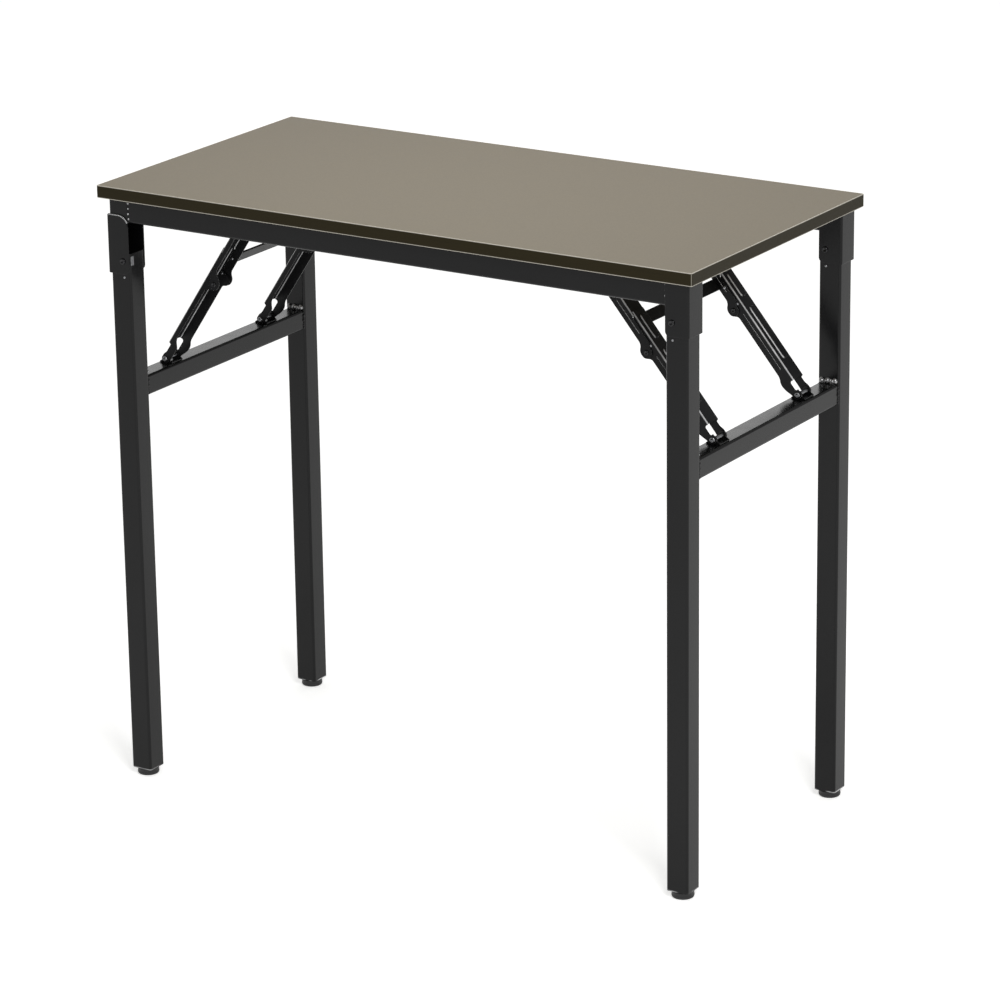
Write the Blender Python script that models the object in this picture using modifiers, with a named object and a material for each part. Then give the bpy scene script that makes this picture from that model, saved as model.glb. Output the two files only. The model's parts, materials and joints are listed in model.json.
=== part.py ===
"""Folding desk: a laminated top on two tube leg frames that fold flat under it.

Metres, +Z up, +X along the desk, +Y from the front edge to the back edge.
The origin is on the floor, under the middle of the top.
"""

import math
from types import SimpleNamespace

import bmesh
import bpy
from mathutils import Matrix, Vector

for old in list(bpy.data.objects):
    bpy.data.objects.remove(old, do_unlink=True)

MM = 0.001

# The top
DESK_LENGTH = 800 * MM
DESK_DEPTH = 400 * MM
DESK_HEIGHT = 740 * MM
BOARD_THICK = 15 * MM
BAND_THICK = 1 * MM
BAND_CORNER = 2 * MM

# Clearance kept between pieces that touch
GAP = 0.3 * MM

# Square tube of the legs, with its place under the top
LEG_SIZE = 28 * MM
TUBE_CORNER = 3 * MM
TUBE_WALL = 1.2 * MM
LEG_INSET_X = 10 * MM
LEG_INSET_Y = 9.3 * MM
LEG_LIFT = 9.1 * MM

# Rails and cross tubes under the board
RAIL_DEPTH = 20 * MM
RAIL_HEIGHT = 28 * MM

# Fold pivots: the left pair is lower by one tube, so its legs fold under the right ones
PIVOT_DROP = 46 * MM
PIVOT_SHIFT = 5 * MM
STACK_GAP = 1 * MM
PIVOT_RADIUS = 3 * MM
PIVOT_HEAD = 4.8 * MM
PIVOT_TO_TOP = 9 * MM
BUMP_RADIUS = 2.5 * MM
BUMP_RISE = 1 * MM
BUMP_DROP = 20 * MM

# Sheet brackets that hold the leg tops
BRACKET_SHEET = 1.8 * MM
BRACKET_SLACK = 0.4 * MM
BRACKET_WALL_SLACK = 0.5 * MM
BRACKET_DROP = 16 * MM
BRACKET_ROUND = 6 * MM
SLEEVE_RISE = 54.5 * MM
SLEEVE_ROUND = 14 * MM

# Crossbar between the two legs of a frame
BAR_SIZE = 25 * MM
RIGHT_BAR_DROP = 160 * MM
LEFT_BAR_DROP = 146 * MM

# Toggle braces: two pressed channels that meet at a knuckle
BRACE_INSET = 101 * MM
BRACE_SPAN = 235 * MM
BRACE_WIDTH = 27.4 * MM
RIGHT_LOWER_REACH = 122 * MM
LEFT_LOWER_REACH = 128 * MM
LINK_SHEET = 1.2 * MM
ANCHOR_DROP = 20 * MM
PIN_OFFSET = 7 * MM
PIN_RADIUS = 2.5 * MM
PIN_HEAD = 4.2 * MM
PIN_HEIGHT = 5.5 * MM
ARM_RADIUS = 6 * MM
ARM_LENGTH = 12 * MM
FOOT_ARM_RADIUS = 5 * MM
FOOT_ARM_LENGTH = 21 * MM
UPPER_DEPTH = 13 * MM
LOWER_DEPTH = 14.5 * MM
KNUCKLE_EAR = 7 * MM
KNUCKLE_TONGUE = 6 * MM
KNUCKLE_PIN = 4 * MM
LAP_LENGTH = 46 * MM
LAP_COVER = 5 * MM
LOBE_RADIUS = 6 * MM
LOBE_BACK = 23.5 * MM
LOBE_RISE = 2.5 * MM
BEAD_WIDTH = 12 * MM
BEAD_RISE = 1.6 * MM
BEAD_START = 6 * MM
BEAD_END = 67 * MM
TIE_WIDTH = 14.4 * MM
TIE_THICK = 2.5 * MM
TIE_BACK = 43 * MM
ANCHOR_REACH = 12 * MM
ANCHOR_HEIGHT = 16 * MM
CLEVIS_LENGTH = 18 * MM

# Glides, plugs and the screws that hold the board
FOOT_RADIUS = 13.2 * MM
FOOT_ROUND = 2.5 * MM
STEM_RADIUS = 4 * MM
PLUG_HEIGHT = 16 * MM
SCREW_RADIUS = 2 * MM
SCREW_HEAD = 4 * MM
SCREW_BITE = 10 * MM
SCREW_INSET = 60 * MM

ROUND_STEPS = 14

# Places that follow from the driving dimensions
board_under = DESK_HEIGHT - BOARD_THICK
frame_top = board_under - GAP
rail_under = frame_top - RAIL_HEIGHT
leg_x_out = DESK_LENGTH / 2 - LEG_INSET_X
leg_x_in = leg_x_out - LEG_SIZE
leg_x = leg_x_out - LEG_SIZE / 2
leg_y_out = DESK_DEPTH / 2 - LEG_INSET_Y
leg_y_in = leg_y_out - LEG_SIZE
leg_y = leg_y_out - LEG_SIZE / 2
pivot_x = leg_x - PIVOT_SHIFT
plate_inner = LEG_SIZE / 2 + BRACKET_SLACK
plate_outer = plate_inner + BRACKET_SHEET
wall_inner = leg_x_out + BRACKET_WALL_SLACK
rail_y = leg_y + plate_inner - GAP - RAIL_DEPTH / 2
brace_y = DESK_DEPTH / 2 - BRACE_INSET
screw_y = DESK_DEPTH / 2 - SCREW_INSET
upper_half = BRACE_WIDTH / 2
lower_half = upper_half - LINK_SHEET - GAP
web_out = ARM_RADIUS + PIN_OFFSET
lap_out = web_out + GAP + LINK_SHEET

parts = bpy.data.collections.new("folding_desk")
cutters = bpy.data.collections.new("folding_desk_cutters")
bpy.context.scene.collection.children.link(parts)
bpy.context.scene.collection.children.link(cutters)


def finish(name, colour, metallic, roughness):
    """Make a material with a Principled BSDF."""
    material = bpy.data.materials.new(name)
    material.use_nodes = True
    shader = material.node_tree.nodes["Principled BSDF"]
    shader.inputs["Base Color"].default_value = (*colour, 1)
    shader.inputs["Metallic"].default_value = metallic
    shader.inputs["Roughness"].default_value = roughness
    return material


LAMINATE = finish("grey_brown_laminate", (0.25, 0.22, 0.18), 0, 0.45)
BAND = finish("brown_edge_band", (0.09, 0.065, 0.05), 0, 0.5)
COATED_STEEL = finish("black_powder_coated_steel", (0.02, 0.02, 0.022), 0, 0.38)
BRIGHT_STEEL = finish("zinc_plated_steel", (0.55, 0.55, 0.56), 1, 0.35)
BLACK_PLASTIC = finish("black_plastic", (0.012, 0.012, 0.013), 0, 0.5)


def axes(origin, x_axis, y_axis):
    """Matrix of a frame with the given origin and first two axes."""
    x_axis = Vector(x_axis)
    y_axis = Vector(y_axis)
    turn = Matrix((x_axis, y_axis, x_axis.cross(y_axis))).transposed().to_4x4()
    return Matrix.Translation(origin) @ turn


def along_x(origin):
    return axes(origin, (0, 1, 0), (0, 0, 1))


def along_y(origin):
    return axes(origin, (0, 0, 1), (1, 0, 0))


def upright(origin):
    return axes(origin, (1, 0, 0), (0, 1, 0))


def add(name, mesh, place, material):
    """Link a part with a material, or a cutter when it has none."""
    item = bpy.data.objects.new(name, mesh)
    item.matrix_world = place
    if material is None:
        cutters.objects.link(item)
        item.hide_render = True
        item.display_type = "WIRE"
    else:
        parts.objects.link(item)
        mesh.materials.append(material)
        mesh.shade_smooth()
        mesh.set_sharp_from_angle(angle=math.radians(35))
    return item


def block(name, low, high, place=None, material=None):
    """Box between two opposite corners of its own frame."""
    low = Vector(low)
    high = Vector(high)
    size = high - low
    shape = Matrix.Translation((low + high) / 2) @ Matrix.Diagonal((*size, 1))
    form = bmesh.new()
    bmesh.ops.create_cube(form, size=1, matrix=shape)
    mesh = bpy.data.meshes.new(name)
    form.to_mesh(mesh)
    form.free()
    return add(name, mesh, place or Matrix(), material)


def rod(name, radius, length, place, material=None):
    """Cylinder along the frame's Z, centred on its origin."""
    form = bmesh.new()
    bmesh.ops.create_cone(
        form, cap_ends=True, segments=ROUND_STEPS, radius1=radius, radius2=radius, depth=length
    )
    mesh = bpy.data.meshes.new(name)
    form.to_mesh(mesh)
    form.free()
    return add(name, mesh, place, material)


def button(name, radius, rise, place):
    """Flattened ball along the frame's Z, for a low dome."""
    form = bmesh.new()
    bmesh.ops.create_uvsphere(
        form, u_segments=10, v_segments=6, radius=radius, matrix=Matrix.Diagonal((1, 1, rise / radius, 1))
    )
    mesh = bpy.data.meshes.new(name)
    form.to_mesh(mesh)
    form.free()
    return add(name, mesh, place, None)


def turned(name, profile, place, material):
    """Turn a profile of (radius, height) points, listed from top to bottom, about the frame's Z."""
    mesh = bpy.data.meshes.new(name)
    form = bmesh.new()
    points = [form.verts.new((radius, 0, height)) for radius, height in profile]
    for first, second in zip(points, points[1:]):
        form.edges.new((first, second))
    form.to_mesh(mesh)
    form.free()
    item = add(name, mesh, place, material)
    screw = item.modifiers.new("turn", "SCREW")
    screw.steps = ROUND_STEPS
    screw.render_steps = ROUND_STEPS
    screw.use_merge_vertices = True
    screw.merge_threshold = 0.00001
    screw.use_smooth_shade = True
    return item


def outline(name, loops, depth, place, material=None):
    """Flat outline, with any inner loops as holes, given a depth about the frame's XY plane."""
    curve = bpy.data.curves.new(name, "CURVE")
    curve.dimensions = "2D"
    curve.fill_mode = "BOTH"
    curve.extrude = depth / 2
    for loop in loops:
        spline = curve.splines.new("POLY")
        spline.points.add(len(loop) - 1)
        for knot, (x, y) in zip(spline.points, loop):
            knot.co = (x, y, 0, 1)
        spline.use_cyclic_u = True
    drawn = bpy.data.objects.new(name, curve)
    bpy.context.scene.collection.objects.link(drawn)
    bpy.context.view_layer.update()
    graph = bpy.context.evaluated_depsgraph_get()
    mesh = bpy.data.meshes.new_from_object(drawn.evaluated_get(graph))
    bpy.data.objects.remove(drawn)
    bpy.data.curves.remove(curve)
    form = bmesh.new()
    form.from_mesh(mesh)
    bmesh.ops.remove_doubles(form, verts=form.verts, dist=0.00001)
    bmesh.ops.recalc_face_normals(form, faces=form.faces)
    form.to_mesh(mesh)
    form.free()
    mesh.name = name
    return add(name, mesh, place, material)


def arc(centre, radius, start, end, steps=6):
    """Points on an arc, angles in degrees."""
    points = []
    for step in range(steps + 1):
        angle = math.radians(start + (end - start) * step / steps)
        points.append((centre[0] + radius * math.cos(angle), centre[1] + radius * math.sin(angle)))
    return points


def rounded(width, height, radius, centre=(0, 0)):
    """Rectangle with rounded corners."""
    x = width / 2 - radius
    y = height / 2 - radius
    loop = []
    for turn, (right, up) in enumerate(((1, 1), (-1, 1), (-1, -1), (1, -1))):
        corner = (centre[0] + right * x, centre[1] + up * y)
        loop += arc(corner, radius, 90 * turn, 90 * turn + 90, 3)
    return loop


def tube(name, width, height, corner, length, place, material=COATED_STEEL):
    """Hollow rectangular tube along the frame's Z."""
    bore = rounded(width - 2 * TUBE_WALL, height - 2 * TUBE_WALL, corner - TUBE_WALL)
    return outline(name, [rounded(width, height, corner), bore], length, place, material)


def combine(part, operation, *tools):
    """Cut tools from a part, or join them to it, in order."""
    for tool in tools:
        step = part.modifiers.new(tool.name, "BOOLEAN")
        step.operation = operation
        step.solver = "EXACT"
        step.object = tool


def cut(part, *tools):
    combine(part, "DIFFERENCE", *tools)


def join(part, *tools):
    combine(part, "UNION", *tools)


def hang_on(part, point):
    """Move a part's origin to a point on its joint's axis and leave its shape where it is."""
    inverse = part.matrix_world.inverted()
    part.data.transform(Matrix.Translation(-(inverse @ Vector(point))))
    part.matrix_world = part.matrix_world @ Matrix.Translation(inverse @ Vector(point))


def rivet(name, radius, head, grip, rise, place, material=BRIGHT_STEEL):
    """Rivet along the frame's Z with a low head beyond each end of its grip."""
    profile = [(0, grip + rise), (0.7 * head, grip + rise), (head, grip), (radius, grip)]
    mirrored = [(x, -z) for x, z in reversed(profile)]
    return turned(name, profile + mirrored, place, material)


def leg_side(label, sign, pivot_drop, bar_drop, lower_reach):
    """Places of one leg frame and its braces; sign is 1 on the right and -1 on the left."""
    side = SimpleNamespace(label=label, sign=sign, lower_reach=lower_reach)
    side.pivot_z = board_under - pivot_drop
    side.bar_top = side.pivot_z - bar_drop
    side.foot_pin_z = side.bar_top + PIN_HEIGHT
    side.anchor_z = board_under - ANCHOR_DROP
    slope = math.asin((side.anchor_z - side.foot_pin_z) / BRACE_SPAN)
    side.anchor_x = leg_x - BRACE_SPAN * math.cos(slope)
    side.upper_reach = BRACE_SPAN - lower_reach
    side.down = (sign * math.cos(slope), 0, -math.sin(slope))
    side.inward = (-sign * math.sin(slope), 0, -math.cos(slope))
    side.out = (sign, 0, 0)
    return side


RIGHT = leg_side("right", 1, PIVOT_DROP, RIGHT_BAR_DROP, RIGHT_LOWER_REACH)
LEFT = leg_side("left", -1, PIVOT_DROP + LEG_SIZE + STACK_GAP, LEFT_BAR_DROP, LEFT_LOWER_REACH)
ENDS = (("front", -1), ("back", 1))


def make_top():
    """Board with its edge band, rails, cross tubes and board screws."""
    middle = upright((0, 0, board_under + BOARD_THICK / 2))
    corner = BAND_CORNER - BAND_THICK
    inset = 2 * (BAND_THICK + GAP)
    core = rounded(DESK_LENGTH - inset, DESK_DEPTH - inset, corner)
    board = outline("tabletop_board", [core], BOARD_THICK, middle, LAMINATE)
    band = rounded(DESK_LENGTH, DESK_DEPTH, BAND_CORNER)
    band_hole = rounded(DESK_LENGTH - 2 * BAND_THICK, DESK_DEPTH - 2 * BAND_THICK, corner)
    outline("edge_band", [band, band_hole], BOARD_THICK, middle, BAND)

    rail_right = wall_inner - GAP
    rail_left = -(leg_x_in - GAP)
    rail_z = frame_top - RAIL_HEIGHT / 2
    for end, back in ENDS:
        place = along_x(((rail_right + rail_left) / 2, back * rail_y, rail_z))
        tube(f"rail_{end}", RAIL_DEPTH, RAIL_HEIGHT, TUBE_CORNER, rail_right - rail_left, place)

    tube_half = rail_y - RAIL_DEPTH / 2 - GAP
    for side in (RIGHT, LEFT):
        tube_x = side.sign * (side.anchor_x - ANCHOR_REACH - RAIL_DEPTH / 2)
        cross = tube(
            f"cross_tube_{side.label}", RAIL_HEIGHT, RAIL_DEPTH, TUBE_CORNER, 2 * tube_half,
            along_y((tube_x, 0, rail_z)),
        )
        for end, back in ENDS:
            tip = board_under + SCREW_BITE
            seat = rail_under - GAP
            profile = [
                (0, tip),
                (SCREW_RADIUS, tip - SCREW_RADIUS),
                (SCREW_RADIUS, seat),
                (SCREW_HEAD, seat),
                (SCREW_RADIUS, seat - SCREW_RADIUS),
                (0, seat - SCREW_RADIUS),
            ]
            spot = (tube_x, back * screw_y, 0)
            turned(f"board_screw_{side.label}_{end}", profile, upright(spot), BRIGHT_STEEL)
            low = rail_under - RAIL_HEIGHT
            high = tip + GAP
            hole = rod(
                f"cut_screw_{side.label}_{end}", SCREW_RADIUS + GAP, high - low,
                upright((tube_x, back * screw_y, (low + high) / 2)),
            )
            cut(board, hole)
            cut(cross, hole)


def make_corner(side, end, back):
    """Bracket, leg, pivot rivet, plug and glide at one corner."""
    tag = f"{side.label}_{end}"
    pivot = (side.sign * pivot_x, back * leg_y, side.pivot_z)
    side_view = axes(pivot, side.out, (0, 0, 1))
    pivot_hole = rod(f"cut_pivot_{tag}", PIVOT_RADIUS + GAP, 4 * LEG_SIZE, along_y(pivot))

    # Bracket: side outline through its whole width, hollowed to a channel that opens inward
    inner = leg_x_in + BRACKET_SLACK - pivot_x
    outer = wall_inner + BRACKET_SHEET - pivot_x
    low = -BRACKET_DROP
    if side is RIGHT:
        top = frame_top - side.pivot_z
        top_corner = [(inner, top)]
    else:
        top = SLEEVE_RISE
        top_corner = arc((inner + SLEEVE_ROUND, top - SLEEVE_ROUND), SLEEVE_ROUND, 90, 180)
    low_corner = arc((inner + BRACKET_ROUND, low + BRACKET_ROUND), BRACKET_ROUND, 180, 270)
    shape = [(outer, low), (outer, top)] + top_corner + low_corner
    bracket = outline(f"bracket_{tag}", [shape], 2 * plate_outer, side_view, COATED_STEEL)
    hollow = block(
        f"cut_bracket_{tag}", (-2 * LEG_SIZE, -2 * LEG_SIZE, -plate_inner),
        (wall_inner - pivot_x, 4 * LEG_SIZE, plate_inner), side_view,
    )
    cut(bracket, hollow, pivot_hole)
    grip = plate_outer + GAP
    rivet(f"leg_rivet_{tag}", PIVOT_RADIUS, PIVOT_HEAD, grip, PIVOT_RADIUS / 2, along_y(pivot))

    # Leg: square tube, its outer top corner rounded about the pivot so that it turns in the bracket
    leg_top = side.pivot_z + PIVOT_TO_TOP
    leg = tube(
        f"leg_{tag}", LEG_SIZE, LEG_SIZE, TUBE_CORNER, leg_top - LEG_LIFT,
        upright((side.sign * leg_x, back * leg_y, (leg_top + LEG_LIFT) / 2)),
    )
    swing = leg_x_out - pivot_x
    shoulder = [(swing + BRACKET_SLACK, -PIVOT_TO_TOP)]
    shoulder += arc((0, 0), swing - BRACKET_SLACK, 8, 50)
    shoulder += [(swing, 2 * swing), (2 * swing, 2 * swing), (2 * swing, -PIVOT_TO_TOP)]
    corner_cut = outline(f"cut_leg_top_{tag}", [shoulder], 2 * LEG_SIZE, side_view)
    cut(leg, corner_cut, pivot_hole)
    for face in (-1, 1):
        spot = (pivot[0], pivot[1] + face * LEG_SIZE / 2, side.pivot_z - BUMP_DROP)
        join(leg, button(f"bump_{tag}_{face}", BUMP_RADIUS, BUMP_RISE, along_y(spot)))
    hang_on(leg, pivot)

    # Plug in the open end of the tube, with the glide's stem in its bore
    ground = (side.sign * leg_x, back * leg_y, 0)
    reach = LEG_SIZE / 2 - TUBE_WALL - GAP
    shape = rounded(2 * reach, 2 * reach, TUBE_CORNER - TUBE_WALL)
    bore = arc((0, 0), STEM_RADIUS + GAP, 0, 360 - 360 / ROUND_STEPS, ROUND_STEPS - 1)
    plug = outline(
        f"leg_plug_{tag}", [shape, bore], PLUG_HEIGHT,
        upright((ground[0], ground[1], LEG_LIFT + PLUG_HEIGHT / 2)), BLACK_PLASTIC,
    )
    hang_on(plug, pivot)
    rim = LEG_LIFT - GAP
    profile = [
        (0, LEG_LIFT + PLUG_HEIGHT - FOOT_ROUND),
        (STEM_RADIUS, LEG_LIFT + PLUG_HEIGHT - FOOT_ROUND),
        (STEM_RADIUS, rim),
        (FOOT_RADIUS - BUMP_RISE, rim),
        (FOOT_RADIUS, rim - BUMP_RISE),
    ]
    profile += arc((FOOT_RADIUS - FOOT_ROUND, FOOT_ROUND), FOOT_ROUND, 0, -90, 3)
    profile += [(0, 0)]
    turned(f"foot_{tag}", profile, upright(ground), BLACK_PLASTIC)


def make_anchor(side, end, back):
    """Ears on the cross tube that carry the upper end of a brace, with their pin."""
    tag = f"{side.label}_{end}"
    point = (side.sign * side.anchor_x, back * brace_y, side.anchor_z)
    view = axes(point, side.out, (0, 0, 1))
    foot = -ANCHOR_REACH + GAP
    flare = foot + LINK_SHEET + GAP
    shape = [(flare, ANCHOR_HEIGHT / 2), (foot, ANCHOR_HEIGHT / 2)]
    shape += [(foot, -ANCHOR_HEIGHT / 2), (flare, -ANCHOR_HEIGHT / 2)]
    shape += arc((0, 0), ARM_RADIUS, -80, 80)
    anchor = outline(f"brace_anchor_{tag}", [shape], 2 * lower_half, view, COATED_STEEL)
    inside = lower_half - LINK_SHEET
    hollow = block(
        f"cut_anchor_{tag}", (foot + LINK_SHEET, -ANCHOR_HEIGHT, -inside),
        (ANCHOR_HEIGHT, ANCHOR_HEIGHT, inside), view,
    )
    hole = rod(f"cut_anchor_pin_{tag}", PIN_RADIUS + GAP, 2 * BRACE_WIDTH, along_y(point))
    cut(anchor, hollow, hole)
    rivet(f"anchor_pin_{tag}", PIN_RADIUS, PIN_HEAD, upper_half + GAP, LINK_SHEET, along_y(point))
    return hole


def make_clevis(side, end, back):
    """Ears on the crossbar that carry the lower end of a brace, with their pin."""
    tag = f"{side.label}_{end}"
    point = (side.sign * leg_x, back * brace_y, side.foot_pin_z)
    pivot = (side.sign * pivot_x, 0, side.pivot_z)
    view = axes(point, side.out, (0, 0, 1))
    half = lower_half - LINK_SHEET - GAP
    under = -PIN_HEIGHT + GAP
    base = under + LINK_SHEET
    shape = [(-CLEVIS_LENGTH / 2, under), (CLEVIS_LENGTH / 2, under), (CLEVIS_LENGTH / 2, base)]
    shape += arc((0, 0), FOOT_ARM_RADIUS, -15, 195)
    shape += [(-CLEVIS_LENGTH / 2, base)]
    clevis = outline(f"brace_clevis_{tag}", [shape], 2 * half, view, COATED_STEEL)
    inside = half - LINK_SHEET
    hollow = block(
        f"cut_clevis_{tag}", (-CLEVIS_LENGTH, base, -inside),
        (CLEVIS_LENGTH, CLEVIS_LENGTH, inside), view,
    )
    hole = rod(f"cut_clevis_pin_{tag}", PIN_RADIUS + GAP, 2 * BRACE_WIDTH, along_y(point))
    cut(clevis, hollow, hole)
    hang_on(clevis, pivot)
    rivet(f"clevis_pin_{tag}", PIN_RADIUS, PIN_HEAD, lower_half + GAP, LINK_SHEET, along_y(point))
    return hole


def make_upper_link(side, end, back, hole):
    """Upper channel of a brace, from its anchor pin to the ears of the knuckle."""
    tag = f"{side.label}_{end}"
    place = axes(
        (side.sign * side.anchor_x, back * brace_y, side.anchor_z), side.down, side.inward
    )
    knuckle = (side.upper_reach, PIN_OFFSET)
    web = -ARM_RADIUS
    edge = web + UPPER_DEPTH
    neck = side.upper_reach - 1.5 * KNUCKLE_EAR
    shape = arc((0, 0), ARM_RADIUS, 90, 270)
    shape += [(neck, web)]
    shape += arc(knuckle, KNUCKLE_EAR, -125, 125, 10)
    shape += [(neck, edge), (ARM_LENGTH, edge)]
    link = outline(f"upper_link_{tag}", [shape], BRACE_WIDTH, place, COATED_STEEL)
    inside = upper_half - LINK_SHEET
    far = side.upper_reach + BRACE_WIDTH
    channel = block(
        f"cut_upper_channel_{tag}", (-BRACE_WIDTH, web + LINK_SHEET, -inside),
        (far, BRACE_WIDTH, inside), place,
    )
    near_window = block(
        f"cut_upper_arms_{tag}", (-BRACE_WIDTH, -BRACE_WIDTH, -inside), (ARM_LENGTH, 0, inside), place
    )
    stop = side.upper_reach - LAP_LENGTH + LAP_COVER
    far_window = block(
        f"cut_upper_lap_{tag}", (stop, -BRACE_WIDTH, -inside), (far, 0, inside), place
    )
    cut(link, channel, near_window, far_window, hole)
    for face in (-1, 1):
        head = rod(
            f"knuckle_head_{tag}_{face}", PIN_HEAD, LINK_SHEET + PIN_RADIUS / 2,
            place @ Matrix.Translation((*knuckle, face * (upper_half + PIN_RADIUS / 4))),
        )
        join(link, head)


def make_tie_bar(side):
    """Flat bar that makes the two upper links of a side turn together."""
    place = axes((side.sign * side.anchor_x, 0, side.anchor_z), side.down, side.inward)
    edge = UPPER_DEPTH - ARM_RADIUS
    start = side.upper_reach - TIE_BACK
    half = brace_y - upper_half - GAP
    block(
        f"tie_bar_{side.label}", (start, edge - TIE_THICK, -half), (start + TIE_WIDTH, edge, half),
        place, COATED_STEEL,
    )


def make_lower_link(side, end, back, hole):
    """Lower channel of a brace: narrower, so that it nests in the upper one, with a lapping tail."""
    tag = f"{side.label}_{end}"
    place = axes((side.sign * leg_x, back * brace_y, side.foot_pin_z), side.down, side.inward)
    knuckle = (-side.lower_reach, PIN_OFFSET)
    web = PIN_OFFSET - lap_out
    skin = web + LINK_SHEET
    edge = web + LOWER_DEPTH
    tail = knuckle[0] - LAP_LENGTH
    shape = [(tail, skin), (tail, web), (-FOOT_ARM_LENGTH, web), (-FOOT_ARM_LENGTH, -FOOT_ARM_RADIUS)]
    shape += arc((0, 0), FOOT_ARM_RADIUS, -90, 80)
    shape += arc((-LOBE_BACK, edge + LOBE_RISE - LOBE_RADIUS), LOBE_RADIUS, 50, 130)
    shape += [(-1.5 * LOBE_BACK, edge), (knuckle[0] + 2 * KNUCKLE_TONGUE, edge)]
    shape += arc(knuckle, KNUCKLE_TONGUE, 20, 180)
    shape += [(knuckle[0] - KNUCKLE_TONGUE, skin)]
    link = outline(f"lower_link_{tag}", [shape], 2 * lower_half, place, COATED_STEEL)
    inside = lower_half - LINK_SHEET
    channel = block(
        f"cut_lower_channel_{tag}", (tail - BRACE_WIDTH, skin, -inside),
        (BRACE_WIDTH, 2 * BRACE_WIDTH, inside), place,
    )
    # Only one flange keeps its lobe: the same pressing is turned round for the other side
    plain = block(
        f"cut_lower_lobe_{tag}", (-1.5 * LOBE_BACK, edge, 0), (0, 2 * BRACE_WIDTH, BRACE_WIDTH), place
    )
    cut(link, channel, plain, hole)
    bush = rod(
        f"knuckle_bush_{tag}", KNUCKLE_PIN, 2 * lower_half - LINK_SHEET,
        place @ Matrix.Translation((*knuckle, 0)),
    )
    join(link, bush)
    runs = (
        ("lap", tail + BEAD_START, knuckle[0] - KNUCKLE_EAR),
        ("body", knuckle[0] + BEAD_START, knuckle[0] + BEAD_END),
    )
    for label, start, stop in runs:
        middle = ((start + stop) / 2, web, 0)
        form = rounded(stop - start, BEAD_WIDTH, 0.49 * BEAD_WIDTH)
        view = place @ axes(middle, (1, 0, 0), (0, 0, 1))
        join(link, outline(f"bead_{label}_{tag}", [form], 2 * BEAD_RISE, view))


def make_frame(side):
    """One leg frame with its corners, crossbar and pair of braces."""
    for end, back in ENDS:
        make_corner(side, end, back)
        anchor_hole = make_anchor(side, end, back)
        clevis_hole = make_clevis(side, end, back)
        make_upper_link(side, end, back, anchor_hole)
        make_lower_link(side, end, back, clevis_hole)
    make_tie_bar(side)
    bar = tube(
        f"leg_crossbar_{side.label}", BAR_SIZE, BAR_SIZE, TUBE_CORNER, 2 * (leg_y_in - GAP),
        along_y((side.sign * leg_x, 0, side.bar_top - BAR_SIZE / 2)),
    )
    hang_on(bar, (side.sign * pivot_x, 0, side.pivot_z))


def make_posts():
    """Stubs of leg tube that carry the left sleeves at the ends of the rails."""
    for end, back in ENDS:
        spot = (-leg_x, back * leg_y, frame_top - RAIL_HEIGHT / 2)
        tube(f"corner_post_{end}", LEG_SIZE, LEG_SIZE, TUBE_CORNER, RAIL_HEIGHT, upright(spot))


make_top()
make_posts()
make_frame(RIGHT)
make_frame(LEFT)
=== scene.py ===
"""Looks of the folding desk: fine pieces, finishes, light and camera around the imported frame."""

import json
import math

import bmesh
import bpy
from mathutils import Matrix, Vector

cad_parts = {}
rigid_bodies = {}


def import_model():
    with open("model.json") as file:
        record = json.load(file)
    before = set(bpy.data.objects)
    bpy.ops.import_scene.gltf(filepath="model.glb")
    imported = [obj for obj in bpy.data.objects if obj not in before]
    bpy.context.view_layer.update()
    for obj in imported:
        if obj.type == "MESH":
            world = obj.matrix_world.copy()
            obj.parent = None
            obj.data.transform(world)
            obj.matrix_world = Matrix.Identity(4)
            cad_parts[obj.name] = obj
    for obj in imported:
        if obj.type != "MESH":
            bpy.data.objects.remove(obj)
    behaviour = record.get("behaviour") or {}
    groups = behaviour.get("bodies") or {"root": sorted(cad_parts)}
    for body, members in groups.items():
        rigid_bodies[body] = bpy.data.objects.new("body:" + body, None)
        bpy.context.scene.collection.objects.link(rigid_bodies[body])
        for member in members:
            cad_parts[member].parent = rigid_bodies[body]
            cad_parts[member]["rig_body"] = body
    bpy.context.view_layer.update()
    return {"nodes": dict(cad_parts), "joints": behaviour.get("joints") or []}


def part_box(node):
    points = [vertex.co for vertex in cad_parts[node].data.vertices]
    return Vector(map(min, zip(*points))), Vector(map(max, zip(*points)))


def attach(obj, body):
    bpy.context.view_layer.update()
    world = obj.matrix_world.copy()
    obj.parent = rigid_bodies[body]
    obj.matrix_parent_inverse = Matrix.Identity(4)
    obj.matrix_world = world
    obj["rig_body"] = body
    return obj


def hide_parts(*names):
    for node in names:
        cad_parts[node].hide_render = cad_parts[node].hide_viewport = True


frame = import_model()

MM = 0.001
SIDES = (("right", 1), ("left", -1))
ENDS = (("front", -1), ("back", 1))
X, Y, Z = 0, 1, 2
# Points closer than this are one point: in a new form, and in a CAD node's mesh
SAME_POINT, SAME_CAD_POINT = 1e-7, 1e-6
# How nearly a direction lies along an axis, as a cosine
ALIGNED = 0.99
QUARTER_TURN = [math.radians(angle) for angle in range(0, 91, 15)]
joints = {joint["name"]: joint for joint in frame["joints"]}


# Finishes

# Pale steel: bare steel at the legs' sawn ends, and the colour of the highlights painted on the
# braces
BARE_STEEL_AND_HIGHLIGHT = "#C4C4C5"
# Pale colour of the highlight painted along the edge band's rim
RIM_HIGHLIGHT_ABS = "#B8B3A8"
# How far from the band's rim the painted highlight fades out, and where it is full
HIGHLIGHT_FADES, HIGHLIGHT_FULL = 1.1 * MM, 0.3 * MM
# How far above a leg's sawn end the steel is bare, and where the coat is whole
BARE_TO, COATED_FROM = 0.9 * MM, 1.6 * MM


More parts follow.
